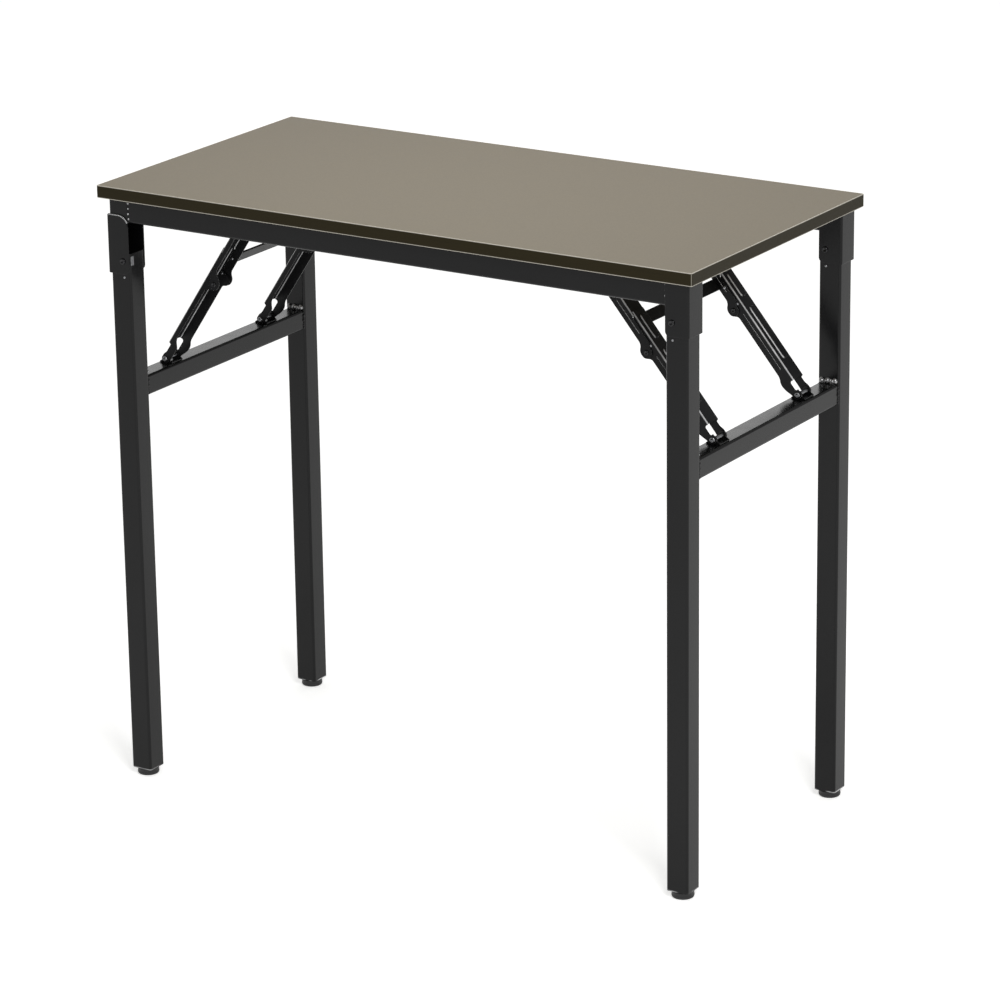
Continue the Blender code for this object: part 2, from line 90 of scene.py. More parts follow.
def linear(colour):
    """Linear colour of an sRGB hex value."""
    channels = [int(colour[i : i + 2], 16) / 255 for i in (1, 3, 5)]
    channels = [c / 12.92 if c <= 0.04045 else ((c + 0.055) / 1.055) ** 2.4 for c in channels]
    return (*channels, 1)


def per_mm(size):
    """Texture scale whose features are this many millimetres across."""
    return 1 / (size * MM)


def add_node(tree, kind, settings=None, links=None):
    """Add a node; a setting is one of its sockets, by name or number, or else a property."""
    node = tree.nodes.new(kind)
    for key, value in (settings or {}).items():
        if isinstance(key, int) or key in node.inputs:
            node.inputs[key].default_value = value
        else:
            setattr(node, key, value)
    for socket, source in (links or {}).items():
        tree.links.new(source, node.inputs[socket])
    return node


def finish(name, slot, settings):
    """Empty material with its shader; returns it with its tree, shader and coordinates."""
    material = bpy.data.materials.new(name)
    material.use_nodes = True
    material["slot"] = slot
    tree = material.node_tree
    tree.nodes.clear()
    shader = add_node(tree, "ShaderNodeBsdfPrincipled", settings)
    add_node(tree, "ShaderNodeOutputMaterial", links={"Surface": shader.outputs["BSDF"]})
    place = add_node(tree, "ShaderNodeTexCoord").outputs["Object"]
    return material, tree, shader, place


def mottle(tree, place, size, colours, **noise):
    """Spots this many millimetres across, and the two colours that they mingle."""
    spots = add_node(
        tree, "ShaderNodeTexNoise", {"Scale": per_mm(size), **noise}, {"Vector": place}
    ).outputs["Fac"]
    mingled = add_node(
        tree, "ShaderNodeMix",
        {"data_type": "RGBA", 6: linear(colours[0]), 7: linear(colours[1])}, {0: spots},
    )
    return spots, mingled.outputs[2]


def dress(tree, shader, colour, spots, gloss, relief=None):
    """Give a shader its colour, a roughness between two values that follows the spots, and relief.

    The relief is a height, its strength and its depth in millimetres.
    """
    rough = add_node(
        tree, "ShaderNodeMapRange", {"To Min": gloss[0], "To Max": gloss[1]}, {"Value": spots}
    )
    tree.links.new(colour, shader.inputs["Base Color"])
    tree.links.new(rough.outputs["Result"], shader.inputs["Roughness"])
    if relief:
        height, strength, depth = relief
        bump = add_node(
            tree, "ShaderNodeBump", {"Strength": strength, "Distance": depth * MM},
            {"Height": height},
        )
        tree.links.new(bump.outputs["Normal"], shader.inputs["Normal"])


def melamine_laminate():
    """Melamine-faced board, pressed: an even grey-brown print, a faint cloud and a satin skin."""
    material, tree, shader, place = finish(
        "melamine_laminate", "laminate", {"IOR": 1.5, "Specular IOR Level": 0.25}
    )
    cloud, print_mix = mottle(tree, place, 26, ("#6E6656", "#776F5F"), Detail=6, Roughness=0.65)
    fleck = add_node(
        tree, "ShaderNodeTexNoise", {"Scale": per_mm(2.2), "Detail": 4, "Roughness": 0.7},
        {"Vector": place},
    ).outputs["Fac"]
    colour = add_node(
        tree, "ShaderNodeMix", {"data_type": "RGBA", "blend_type": "OVERLAY", 0: 0.14},
        {6: print_mix, 7: fleck},
    )
    dress(tree, shader, colour.outputs[2], cloud, (0.5, 0.6), (fleck, 0.12, 0.05))
    return material


def abs_edge_band():
    """ABS edge band, extruded and ironed on: darker than the top, with a highlight painted pale
    along its rim.
    """
    material, tree, shader, place = finish(
        "abs_edge_band", "band", {"IOR": 1.53, "Specular IOR Level": 0.1}
    )
    # Stretched along the band, the noise gives the fine lines of the extrusion
    run = add_node(tree, "ShaderNodeMapping", {"Scale": (0.03, 0.03, 1)}, {"Vector": place})
    lines, plain = mottle(tree, run.outputs["Vector"], 1.6, ("#1F1A08", "#26200D"), Detail=3)
    # Painted highlight along the rim: the top and bottom edges all round, and the upright corners
    low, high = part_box("edge_band")
    half = (high - low) / 2
    spot = add_node(
        tree, "ShaderNodeVectorMath", {"operation": "SUBTRACT", 1: low + half}, {0: place}
    )
    away = add_node(tree, "ShaderNodeVectorMath", {"operation": "ABSOLUTE"}, {0: spot.outputs[0]})
    reach = add_node(tree, "ShaderNodeSeparateXYZ", links={"Vector": away.outputs[0]})
    highlight_by_axis = []
    for axis in (X, Y, Z):
        rim = add_node(
            tree, "ShaderNodeMapRange",
            {"From Min": half[axis] - HIGHLIGHT_FADES, "From Max": half[axis] - HIGHLIGHT_FULL},
            {"Value": reach.outputs[axis]},
        )
        highlight_by_axis.append(rim.outputs["Result"])
    corner = add_node(
        tree, "ShaderNodeMath", {"operation": "MULTIPLY"}, {0: highlight_by_axis[X], 1: highlight_by_axis[Y]}
    )
    painted_rim_highlight = add_node(
        tree, "ShaderNodeMath", {"operation": "MAXIMUM"}, {0: corner.outputs[0], 1: highlight_by_axis[Z]}
    )
    # The painted rim highlight, mixed over the band's own colour
    colour = add_node(
        tree, "ShaderNodeMix", {"data_type": "RGBA", 7: linear(RIM_HIGHLIGHT_ABS)},
        {0: painted_rim_highlight.outputs[0], 6: plain},
    )
    dress(tree, shader, colour.outputs[2], lines, (0.38, 0.5))
    return material


def powder_coated_steel():
    """Black powder coat, baked: a soft gloss broken by orange peel, drawn at 2.4 mm to show.

    The sawn ends of the legs show bare steel in places.
    """
    material, tree, shader, place = finish("powder_coated_steel", "coated_steel", {"IOR": 1.3})
    peel = add_node(
        tree, "ShaderNodeTexNoise", {"Scale": per_mm(2.4), "Detail": 2, "Roughness": 0.5},
        {"Vector": place},
    ).outputs["Fac"]
    patch, coat = mottle(tree, place, 30, ("#09090A", "#0F0F10"), Detail=5)
    # The scuffed rim just above the legs' sawn ends
    height = add_node(tree, "ShaderNodeSeparateXYZ", links={"Vector": place})
    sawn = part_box("leg_right_front")[0].z
    rim = add_node(
        tree, "ShaderNodeMapRange",
        {"From Min": sawn + BARE_TO, "From Max": sawn + COATED_FROM, "To Min": 1, "To Max": 0},
        {"Value": height.outputs["Z"]},
    )
    scuff = add_node(
        tree, "ShaderNodeMapRange", {"From Min": 0.42, "From Max": 0.56}, {"Value": patch}
    )
    bare = add_node(
        tree, "ShaderNodeMath", {"operation": "MULTIPLY"},
        {0: rim.outputs["Result"], 1: scuff.outputs["Result"]},
    )
    colour = add_node(
        tree, "ShaderNodeMix", {"data_type": "RGBA", 7: linear(BARE_STEEL_AND_HIGHLIGHT)},
        {0: bare.outputs[0], 6: coat},
    )
    dress(tree, shader, colour.outputs[2], patch, (0.2, 0.3), (peel, 0.16, 0.06))
    return material


def dip_coat_painted_highlights():
    """Thin black dip coat on the braces: dull, with highlights painted in pale steel along bends
    and beads.
    """
    material, tree, shader, place = finish("dip_coat_painted_highlights", "coated_steel", {"IOR": 1.2})
    patch, coat = mottle(tree, place, 14, ("#141415", "#1D1D1E"), Detail=5, Roughness=0.6)
    # Painted highlight on ridges: where the surface turns half way between a flange and the web
    facing = add_node(tree, "ShaderNodeSeparateXYZ", links={"Vector": place.node.outputs["Normal"]})
    flangeward = add_node(
        tree, "ShaderNodeMath", {"operation": "ABSOLUTE"}, {0: facing.outputs["Y"]}
    )
    leaves_web = add_node(
        tree, "ShaderNodeMapRange", {"From Min": 0.4, "From Max": 0.6},
        {"Value": flangeward.outputs[0]},
    )
    meets_flange = add_node(
        tree, "ShaderNodeMapRange", {"From Min": 0.8, "From Max": 0.93, "To Min": 1, "To Max": 0},
        {"Value": flangeward.outputs[0]},
    )
    # Noise breaks the painted highlight into patches
    highlight_patches = add_node(
        tree, "ShaderNodeMapRange", {"From Min": 0.3, "From Max": 0.6, "To Min": 0.55},
        {"Value": patch},
    )
    ridge = add_node(
        tree, "ShaderNodeMath", {"operation": "MULTIPLY"},
        {0: leaves_web.outputs["Result"], 1: meets_flange.outputs["Result"]},
    )
    painted_ridge_highlight = add_node(
        tree, "ShaderNodeMath", {"operation": "MULTIPLY"},
        {0: ridge.outputs[0], 1: highlight_patches.outputs["Result"]},
    )
    # The painted ridge highlight, mixed over the coat's own colour
    colour = add_node(
        tree, "ShaderNodeMix", {"data_type": "RGBA", 7: linear(BARE_STEEL_AND_HIGHLIGHT)},
        {0: painted_ridge_highlight.outputs[0], 6: coat},
    )
    dress(tree, shader, colour.outputs[2], patch, (0.26, 0.38))
    return material


def zinc_plated_steel():
    """Zinc-plated rivets, headed cold: pale bright metal with a cloudy plate."""
    material, tree, shader, place = finish("zinc_plated_steel", "bright_steel", {"Metallic": 1})
    plate, colour = mottle(tree, place, 3, ("#7C7D7F", "#ABACAF"), Detail=4)
    dress(tree, shader, colour, plate, (0.24, 0.42))
    return material


def blackened_steel():
    """Blackened pivot rivets: dark oxide on a turned head, with a sharper shine than the coat."""
    material, tree, shader, place = finish("blackened_steel", "bright_steel", {"Metallic": 1})
    oxide, colour = mottle(tree, place, 2, ("#2A2A2B", "#404041"), Detail=4)
    dress(tree, shader, colour, oxide, (0.1, 0.2))
    return material


def coated_weld():
    """Weld metal under the black coat: lumpy, thinner paint, so it shines more than the tubes."""
    material, tree, shader, place = finish(
        "coated_weld", "coated_steel", {"IOR": 1.5, "Metallic": 0.7}
    )
    scale_marks, colour = mottle(tree, place, 1.5, ("#4A4A4B", "#CCCCCD"), Detail=4)
    dress(tree, shader, colour, scale_marks, (0.16, 0.34))
    return material


def moulded_polypropylene():
    """Polypropylene glides and plugs, moulded: deep black with a fine matt grain."""
    material, tree, shader, place = finish("moulded_polypropylene", "plastic", {"IOR": 1.49})
    grain, colour = mottle(tree, place, 0.9, ("#111112", "#1A1A1B"), Detail=3)
    dress(tree, shader, colour, grain, (0.46, 0.6), (grain, 0.15, 0.04))
    return material


LAMINATE = melamine_laminate()
BAND = abs_edge_band()
COAT = powder_coated_steel()
HIGHLIT_BRACE_COAT = dip_coat_painted_highlights()
ZINC = zinc_plated_steel()
BLACKENED = blackened_steel()
WELD = coated_weld()
PLASTIC = moulded_polypropylene()


# Shaping

# Edges that turn more sharply than this are eased
HARD_EDGE = math.radians(40)
# Faces that turn less than this are one face, and edges shorter than this are one point
LEVEL = math.radians(1)
SHORT_EDGE = 0.18 * MM
# Where planes touch the round of a pressed bend, in degrees from the web
BEND_CUTS = (18, 36, 54, 72)
# A face that leans this much from the web is bent, and one this far above its skin isn't the web
LEANING, OFF_WEB = 0.1, 0.1 * MM
# How fast weld drops stray along X, Y and Z from one to the next, and how they swell
STRAY_RATES = (5.1, 3.7, 4.3)
SWELL, SWELL_RATE = 0.18, 2.9


def box_form(low, high):
    """Plain block between two corners, to be shaped further."""
    form = bmesh.new()
    bmesh.ops.create_cube(form, size=1)
    bmesh.ops.scale(form, vec=high - low, verts=form.verts)
    bmesh.ops.translate(form, vec=(low + high) / 2, verts=form.verts)
    return form


def edges_along(form, axis):
    """Edges that run along one axis."""
    runs = {e: (e.verts[1].co - e.verts[0].co).normalized() for e in form.edges}
    return [edge for edge, run in runs.items() if abs(run[axis]) > ALIGNED]


def round_edges(form, edges, radius, segments=5):
    """Round some edges, or chamfer them where there is one segment."""
    bmesh.ops.bevel(
        form, geom=edges, offset=radius, offset_type="OFFSET", segments=segments, profile=0.5,
        affect="EDGES", clamp_overlap=True, material=-1,
    )


def drop_faces(form, unwanted):
    """Delete the faces that a test picks out."""
    form.normal_update()
    bmesh.ops.delete(form, geom=[f for f in form.faces if unwanted(f)], context="FACES")


def slice_off(form, point, normal, keep_all=False):
    """Cut along a plane and clear what lies beyond it; returns the edges of the cut."""
    cut = bmesh.ops.bisect_plane(
        form, geom=form.verts[:] + form.edges[:] + form.faces[:], dist=SAME_POINT,
        plane_co=point, plane_no=normal, clear_outer=not keep_all,
    )
    return [part for part in cut["geom_cut"] if isinstance(part, bmesh.types.BMEdge)]


def merge_flats(form):
    """Join the level faces that cuts have parted: short edges would hold back the eased ones."""
    bmesh.ops.dissolve_limit(form, angle_limit=LEVEL, verts=form.verts, edges=form.edges)
    bmesh.ops.dissolve_degenerate(form, dist=SHORT_EDGE, edges=form.edges)


def side_view(angle):
    """Direction at this many degrees from X towards Z."""
    return Vector((math.cos(math.radians(angle)), 0, math.sin(math.radians(angle))))


def round_corner(form, centre, radius, angles):
    """Trim a corner seen from the side to an arc, by planes that touch the arc."""
    for angle in angles:
        out = side_view(angle)
        slice_off(form, centre + radius * out, out)


def tube_form(low, high, axis, corner):
    """Open skin of a tube with rounded corners; its wall is added by piece()."""
    form = box_form(low, high)
    round_edges(form, edges_along(form, axis), corner)
    drop_faces(form, lambda face: abs(face.normal[axis]) > ALIGNED)
    return form


def plate_form(corners):
    """Flat outline from corners in millimetres, each with how far its rounding reaches."""
    form = bmesh.new()
    points = [form.verts.new((x * MM, y * MM, 0)) for x, y, _ in corners]
    form.faces.new(points)
    for point, (_, _, reach) in zip(points, corners):
        if reach:
            bmesh.ops.bevel(
                form, geom=[point], offset=reach * MM, offset_type="OFFSET", segments=7,
                profile=0.5, affect="VERTICES", clamp_overlap=True, material=-1,
            )
    return form


def thicken(form, width):
    """Draw a flat outline out to both sides along Z."""
    drawn = bmesh.ops.extrude_face_region(form, geom=form.faces[:], use_keep_orig=True)
    moved = [part for part in drawn["geom"] if isinstance(part, bmesh.types.BMVert)]
    bmesh.ops.translate(form, vec=(0, 0, width), verts=moved)
    bmesh.ops.translate(form, vec=(0, 0, -width / 2), verts=form.verts)
    bmesh.ops.recalc_face_normals(form, faces=form.faces)


def channel_form(corners, width, bend, web, windows):
    """Open skin of a pressed channel: two flanges of the outline and the web between them.

    A window in the web has a start and a stop, and may take the bends beside it too.
    """
    form = plate_form(corners)
    thicken(form, width)
    for side in (-1, 1):
        centre = Vector((0, web + bend, side * (width / 2 - bend)))
        for angle in BEND_CUTS:
            out = Vector((0, -math.cos(math.radians(angle)), side * math.sin(math.radians(angle))))
            cut = slice_off(form, centre + bend * out, out)
            bmesh.ops.contextual_create(form, geom=cut)
    for start, stop, _ in windows:
        for x in (start, stop):
            slice_off(form, Vector((x, 0, 0)), Vector((1, 0, 0)), keep_all=True)

    def unwanted(face):
        middle = face.calc_center_median()
        bent = abs(face.normal.z) > LEANING
        for start, stop, takes_bends in windows:
            if start < middle.x < stop and (takes_bends or not bent):
                return abs(face.normal.z) < ALIGNED
        return not bent and (face.normal.y > -ALIGNED or middle.y > web + OFF_WEB)

    drop_faces(form, unwanted)
    return form


def lathe_form(profile, place, steps=32):
    """Turned shape from a profile of (radius, height) round the place's Z."""
    form = bmesh.new()
    points = [form.verts.new((radius, 0, height)) for radius, height in profile]
    for start, stop in zip(points, points[1:]):
        form.edges.new((start, stop))
    bmesh.ops.spin(
        form, geom=form.verts[:] + form.edges[:], cent=(0, 0, 0), axis=(0, 0, 1), angle=math.tau,
        steps=steps, use_merge=True,
    )
    bmesh.ops.remove_doubles(form, verts=form.verts, dist=SAME_POINT)
    bmesh.ops.recalc_face_normals(form, faces=form.faces)
    bmesh.ops.transform(form, matrix=place, verts=form.verts)
    return form


def dome(radius, rise, base, steps=5):
    """Profile of a low domed head, from its top down to its rim."""
    turns = [math.radians(90 * step / steps) for step in range(steps + 1)]
    return [(radius * math.sin(turn), base + rise * math.cos(turn)) for turn in turns]


def between(start, stop, count):
    """Even points from one place to another."""
    return [start.lerp(stop, step / (count - 1)) for step in range(count)]


def weld_form(path, size, wander):
    """Weld drops along a path, each a little off it and of its own size."""
    form = bmesh.new()
    for step, spot in enumerate(path):
        sway = Vector([math.sin(rate * step + axis) for axis, rate in enumerate(STRAY_RATES)])
        drop = bmesh.ops.create_icosphere(form, subdivisions=2, radius=1)["verts"]
        bmesh.ops.scale(form, vec=size * (1 + SWELL * math.sin(SWELL_RATE * step)), verts=drop)
        bmesh.ops.translate(form, vec=spot + sway * wander, verts=drop)
    return form


def axes(origin, x_axis, y_axis):
    """Placement from an origin and two directions."""
    x_axis, y_axis = Vector(x_axis).normalized(), Vector(y_axis).normalized()
    turned = Matrix((x_axis, y_axis, x_axis.cross(y_axis))).transposed().to_4x4()
    return Matrix.Translation(origin) @ turned


def piece(name, form, material, node, stands=True, wall=0.0, ease=0.0):
    """Make a form a piece that rides with a CAD node's body; if it stands for it, it hides it."""
    bmesh.ops.remove_doubles(form, verts=form.verts, dist=SAME_POINT)
    bmesh.ops.recalc_face_normals(form, faces=form.faces)
    mesh = bpy.data.meshes.new(name)
    form.to_mesh(mesh)
    form.free()
    mesh.materials.append(material)
    mesh.shade_smooth()
    made = bpy.data.objects.new(name, mesh)
    bpy.context.scene.collection.objects.link(made)
    if wall:
        sheet = made.modifiers.new("sheet", "SOLIDIFY")
        sheet.thickness = wall
        sheet.offset = -1
        sheet.use_even_offset = True
    if ease:
        edge = made.modifiers.new("eased_edges", "BEVEL")
        edge.width = ease
        edge.segments = 2
        edge.limit_method = "ANGLE"
        edge.angle_limit = HARD_EDGE
    shading = made.modifiers.new("even_shading", "WEIGHTED_NORMAL")
    shading.keep_sharp = True
    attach(made, frame["nodes"][node]["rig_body"])
    if stands:
        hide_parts(node)


def softened(node, name, material, ease):
    """Stand a copy of a CAD node, with its hard edges eased, in the node's place."""
    form = bmesh.new()
    form.from_mesh(frame["nodes"][node].data)
    bmesh.ops.remove_doubles(form, verts=form.verts, dist=SAME_CAD_POINT)
    merge_flats(form)
    piece(name, form, material, node, ease=ease)


# The top

BOARD_CORNER = 2 * MM
BOARD_EASE = 0.15 * MM
BAND_WALL = 1 * MM
BAND_EASE = 0.3 * MM


def make_top():
    """Edge band as a walled ring, and the board that fills it."""
    low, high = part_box("edge_band")
    band = tube_form(low, high, Z, BOARD_CORNER)
    piece("edge_banding", band, BAND, "edge_band", wall=BAND_WALL, ease=BAND_EASE)

    inset = Vector((BAND_WALL, BAND_WALL, 0))
    board = box_form(low + inset, high - inset)
    round_edges(board, edges_along(board, Z), BOARD_CORNER - BAND_WALL)
    piece("laminated_board", board, LAMINATE, "tabletop_board", ease=BOARD_EASE)


# Tubes and legs

TUBE_CORNER = 3 * MM
TUBE_WALL = 1.2 * MM
RIM_EASE = 0.2 * MM


def make_tubes():
    """Rails, corner posts, cross tubes and crossbars, each with its wall."""
    for end, _ in ENDS:
        form = tube_form(*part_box(f"rail_{end}"), X, TUBE_CORNER)
        piece(f"rail_tube_{end}", form, COAT, f"rail_{end}", wall=TUBE_WALL, ease=RIM_EASE)
        form = tube_form(*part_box(f"corner_post_{end}"), Z, TUBE_CORNER)
        piece(f"post_tube_{end}", form, COAT, f"corner_post_{end}", wall=TUBE_WALL, ease=RIM_EASE)
    for side, _ in SIDES:
        form = tube_form(*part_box(f"cross_tube_{side}"), Y, TUBE_CORNER)
        piece(f"cross_tube_skin_{side}", form, COAT, f"cross_tube_{side}", wall=TUBE_WALL)
        form = tube_form(*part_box(f"leg_crossbar_{side}"), Y, TUBE_CORNER)
        piece(f"crossbar_tube_{side}", form, COAT, f"leg_crossbar_{side}", wall=TUBE_WALL)


LEG_HALF = 14 * MM
# The round of a leg's outer top corner about its pivot, and the cuts that make it
LEG_SWING = 18.6 * MM
LEG_CUTS = range(8, 51, 7)
# Pressed dome below the bracket: its radius, rise and distance below the pivot
BUMP_RADIUS = 1.5 * MM
BUMP_RISE = 1 * MM
BUMP_DROP = 20 * MM
# Stop tongue on a left leg's inner face: its ends, its sides from the leg's outer face, its depth
TONGUE_FOOT, TONGUE_TOP = 645 * MM, 656 * MM
TONGUE_SIDES = (1 * MM, 6.5 * MM)
TONGUE_SUNK, TONGUE_PROUD = 0.5 * MM, 0.8 * MM
TONGUE_CORNER = 0.8 * MM


def make_leg(side, sign, end, back):
    """Leg tube with its rounded top, its two domes and, on the left, its stop tongue."""
    node = f"leg_{side}_{end}"
    low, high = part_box(node)
    low.y, high.y = low.y + BUMP_RISE, high.y - BUMP_RISE
    form = tube_form(low, high, Z, TUBE_CORNER)
    pivot = Vector(joints[f"fold_{side}"]["pos_m"])
    angles = [angle if sign > 0 else 180 - angle for angle in LEG_CUTS]
    round_corner(form, pivot, LEG_SWING, angles)
    piece(f"leg_tube_{side}_{end}", form, COAT, node, wall=TUBE_WALL, ease=RIM_EASE)

    middle = (low.y + high.y) / 2
    for face in (-1, 1):
        spot = Vector((pivot.x, middle + face * LEG_HALF, pivot.z - BUMP_DROP))
        bump = bmesh.new()
        bmesh.ops.create_uvsphere(bump, u_segments=20, v_segments=12, radius=BUMP_RADIUS)
        bmesh.ops.scale(bump, vec=(1, BUMP_RISE / BUMP_RADIUS, 1), verts=bump.verts)
        bmesh.ops.translate(bump, vec=spot, verts=bump.verts)
        label = "out" if face == back else "in"
        piece(f"leg_bump_{side}_{end}_{label}", bump, ZINC, node, stands=False)

    if sign < 0:
        outer = low.y if back < 0 else high.y
        near, far = sorted(outer - back * inset for inset in TONGUE_SIDES)
        tongue = box_form(
            Vector((high.x - TONGUE_SUNK, near, TONGUE_FOOT)),
            Vector((high.x + TONGUE_PROUD, far, TONGUE_TOP)),
        )
        round_edges(tongue, edges_along(tongue, X), TONGUE_CORNER)
        piece(f"stop_tongue_{end}", tongue, ZINC, node, stands=False, ease=RIM_EASE)


# Brackets

BRACKET_SHEET = 1.8 * MM
BRACKET_BEND = 2.6 * MM
BRACKET_EASE = 0.6 * MM
BRACKET_ROUND = 6 * MM
SLEEVE_ROUND = 14 * MM
CORNER_CUTS = range(9, 82, 12)
# Weld on a left sleeve's rim: the size of its drops, their stray, and how they sit on the rim
RIM_WELD, RIM_STRAY = Vector((1.1, 0.9, 1)) * MM, 0.08 * MM
RIM_SUNK, RIM_LIFT = 0.9 * MM, 0.3 * MM
RIM_TURNS = range(85, 25, -4)


def make_bracket(side, sign, end, back):
    """Sheet folded round the leg's top, open inward; a left one is a sleeve welded to its post."""
    node = f"bracket_{side}_{end}"
    low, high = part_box(node)
    form = box_form(low, high)
    middle = (low.x + high.x) / 2
    outer = [e for e in edges_along(form, Z) if sign * e.verts[0].co.x > sign * middle]
    round_edges(form, outer, BRACKET_BEND)
    drop_faces(
        form, lambda face: abs(face.normal.z) > ALIGNED or sign * face.normal.x < -ALIGNED
    )
    inner = low.x if sign > 0 else high.x
    low_angles = [180 + angle if sign > 0 else -angle for angle in CORNER_CUTS]
    centre = Vector((inner + sign * BRACKET_ROUND, 0, low.z + BRACKET_ROUND))
    round_corner(form, centre, BRACKET_ROUND, low_angles)
    if sign < 0:
        centre = Vector((inner + sign * SLEEVE_ROUND, 0, high.z - SLEEVE_ROUND))
        round_corner(form, centre, SLEEVE_ROUND, CORNER_CUTS)
        # The weld that closes the sleeve's rim on the post: along the top, then round the corner
        skin = (low.y if back < 0 else high.y) - back * RIM_SUNK
        above = high.z + RIM_LIFT
        start, stop = Vector((low.x + BRACKET_BEND, skin, above)), Vector((centre.x, skin, above))
        turning = Vector((centre.x, skin, centre.z))
        path = between(start, stop, 13)
        path += [turning + (SLEEVE_ROUND + RIM_LIFT) * side_view(angle) for angle in RIM_TURNS]
        run = weld_form(path, RIM_WELD, RIM_STRAY)
        piece(f"rim_weld_{end}", run, WELD, node, stands=False)
    piece(f"bracket_sheet_{side}_{end}", form, COAT, node, wall=BRACKET_SHEET, ease=BRACKET_EASE)


# Rivets, pins, screws and glides

# Radius of the shaft, radius of the head and how far the head stands out
PIVOT_RIVET = (3 * MM, 3.8 * MM, 1.5 * MM)
BRACE_PIN = (2.5 * MM, 3.4 * MM, 1.2 * MM)
# Rolled head, in shares of its radius and rise: the dimple's points and the top of the ring
DIMPLE = ((0, 0.25), (0.22, 0.3), (0.36, 0.75))
RING = 0.62


def head_profile(radius, rise, base):
    """Profile of a rolled rivet head, from the axis to the rim: a ring round a dimple."""
    ring = RING * radius
    profile = [(across * radius, base + up * rise) for across, up in DIMPLE]
    profile += [
        (ring + (radius - ring) * math.sin(turn), base + rise * math.cos(turn))
        for turn in QUARTER_TURN
    ]
    return profile


def rivet_form(node, shaft, head, rise):
    """Rivet along Y that fills its CAD node's length, with a rolled head at each end."""
    low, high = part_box(node)
    grip = (high.y - low.y) / 2 - rise
    top = head_profile(head, rise, grip) + [(shaft, grip)]
    profile = top + [(radius, -height) for radius, height in reversed(top)]
    return lathe_form(profile, axes((low + high) / 2, (0, 0, 1), (1, 0, 0)))


def make_rivets(side, end):
    """The leg's pivot rivet, the brace's two pins and the ears that hold them."""
    tag = f"{side}_{end}"
    form = rivet_form(f"leg_rivet_{tag}", *PIVOT_RIVET)
    piece(f"pivot_rivet_{tag}", form, BLACKENED, f"leg_rivet_{tag}")
    for place in ("anchor", "clevis"):
        form = rivet_form(f"{place}_pin_{tag}", *BRACE_PIN)
        piece(f"{place}_rivet_{tag}", form, ZINC, f"{place}_pin_{tag}")
    softened(f"brace_anchor_{tag}", f"anchor_ears_{tag}", COAT, RIM_EASE)
    softened(f"brace_clevis_{tag}", f"clevis_ears_{tag}", COAT, RIM_EASE)


GLIDE_STEM = 4 * MM
GLIDE_TOP = 8.8 * MM
GLIDE_LIP = 1.6 * MM
# The waist under the lip: its depth and height, and where the sole starts below it
WAIST_DEPTH, WAIST_HEIGHT = 0.5 * MM, 4.6 * MM
SOLE_TOP, SOLE_ROUND = 3.8 * MM, 2.5 * MM


def make_glide(side, end):
    """Round foot with a stem, a rolled lip and a rounded sole, and the finish of its plug."""
    tag = f"{side}_{end}"
    low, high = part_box(f"foot_{tag}")
    centre = (low + high) / 2
    radius = (high.x - low.x) / 2
    lip, sole = radius - GLIDE_LIP, radius - SOLE_ROUND
    profile = [(0, high.z), (GLIDE_STEM, high.z), (GLIDE_STEM, GLIDE_TOP), (lip, GLIDE_TOP)]
    profile += [
        (lip + GLIDE_LIP * math.sin(turn), GLIDE_TOP - GLIDE_LIP + GLIDE_LIP * math.cos(turn))
        for turn in QUARTER_TURN[1:]
    ]
    profile += [(radius - WAIST_DEPTH, WAIST_HEIGHT), (radius, SOLE_TOP)]
    profile += [
        (sole + SOLE_ROUND * math.cos(turn), SOLE_ROUND - SOLE_ROUND * math.sin(turn))
        for turn in QUARTER_TURN
    ]
    profile += [(0, 0)]
    form = lathe_form(profile, Matrix.Translation((centre.x, centre.y, 0)), steps=48)
    piece(f"glide_{tag}", form, PLASTIC, f"foot_{tag}")
    plug = frame["nodes"][f"leg_plug_{tag}"]
    plug.data.materials.clear()
    plug.data.materials.append(PLASTIC)


SCREW_SHANK = 2 * MM
# Pan head with its recess, in millimetres: radius and height above the underside
SCREW_HEAD_HEIGHT = 2
SCREW_HEAD = ((4, 2), (4, 1.4), (3.4, 0.5), (2.2, 0), (1.5, 0), (1.1, 1.2), (0, 1.2))


def make_board_screw(side, end):
    """Pan-head screw, from its point in the board down to its recess."""
    node = f"board_screw_{side}_{end}"
    low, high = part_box(node)
    centre = (low + high) / 2
    seat = low.z + SCREW_HEAD_HEIGHT * MM
    profile = [(0, high.z), (SCREW_SHANK, high.z - SCREW_SHANK), (SCREW_SHANK, seat)]
    profile += [(radius * MM, low.z + height * MM) for radius, height in SCREW_HEAD]
    form = lathe_form(profile, Matrix.Translation((centre.x, centre.y, 0)), steps=24)
    piece(f"pan_screw_{side}_{end}", form, ZINC, node)


# Toggle braces. Their outlines are in millimetres from a link's pin: down the brace, then inward.

# From the upper pin to the knuckle, and from there to the lower pin
REACHES = {"right": (113, 122), "left": (107, 128)}
UPPER_WIDTH = 27.4 * MM
LOWER_WIDTH = 24.4 * MM
LINK_SHEET = 1.2 * MM
LINK_BEND = 3 * MM
LINK_EASE = 0.35 * MM
TIE_EASE = 0.4 * MM
UPPER_WEB = -6
LOWER_WEB = -7.5
LOW_EDGE = 7
# The deep flange with the lobe is the one at local Z below zero
LOBE_SIDE = -1
LOBE_TOP = 11
WEB_ENDS = {"right": -17, "left": -22}
# The lower web's lap over the upper one, past the knuckle
LAP = 46
KNUCKLE_DROP = 7
# Radius and rise of the knuckle's heads, and how deep their root goes into the flange
KNUCKLE_HEAD = (3.2 * MM, 1.25 * MM)
KNUCKLE_ROOT = 1 * MM
# Fine ribs: half their width, how deep they are rooted, and the share of their rise that is cut
RIB_HALF, RIB_ROOT, RIB_CHAMFER = 0.5, 0.5 * MM, 0.95
